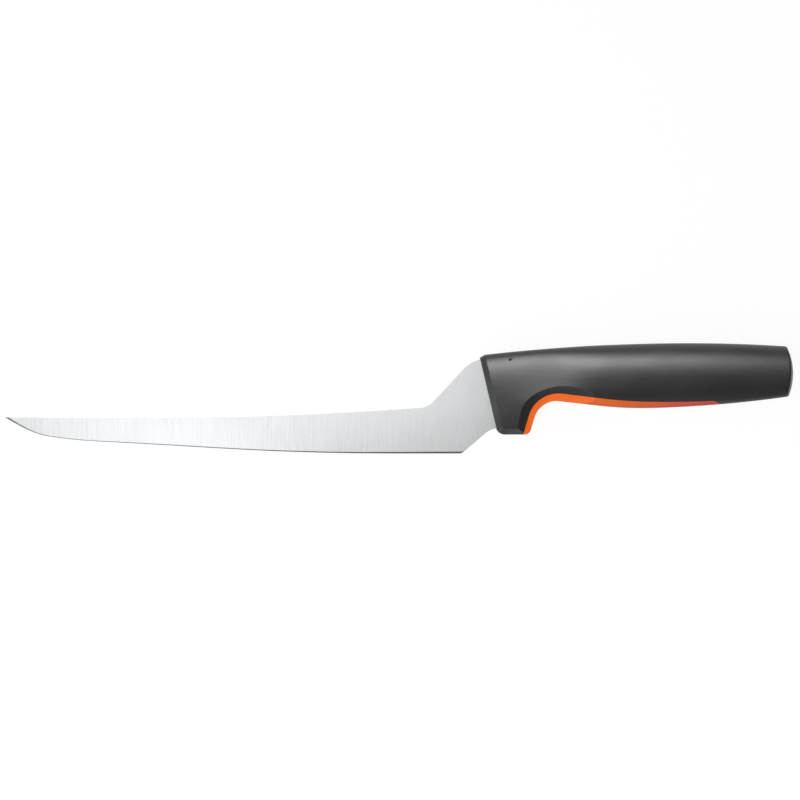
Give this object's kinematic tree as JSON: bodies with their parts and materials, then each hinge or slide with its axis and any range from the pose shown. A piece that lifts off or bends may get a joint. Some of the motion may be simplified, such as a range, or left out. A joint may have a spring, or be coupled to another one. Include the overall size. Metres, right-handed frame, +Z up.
{
  "type": "fillet knife",
  "caption": "Fillet knife: long thin blade with a swept tip and a neck that steps up to a moulded handle with a finger guard, an arch behind it and a soft grip strip along the underside.",
  "frame": {"origin": "middle of the footprint of the knife as it lies flat on its side, on the surface below it", "axes": "+X from the tip to the butt, +Y from the cutting edge to the spine, +Z up through the thickness"},
  "size_m": [0.335, 0.047, 0.02],
  "materials": {
    "steel": "fine satin grind across the blade",
    "core": "moulded, hidden",
    "shell": "fine moulded grain, satin",
    "grip": "smooth soft moulding"
  },
  "bodies": {
    "root": {"blade": "steel", "tang_core": "core", "handle_shell": "shell", "finger_grip": "grip"}
  },
  "joints": []
}
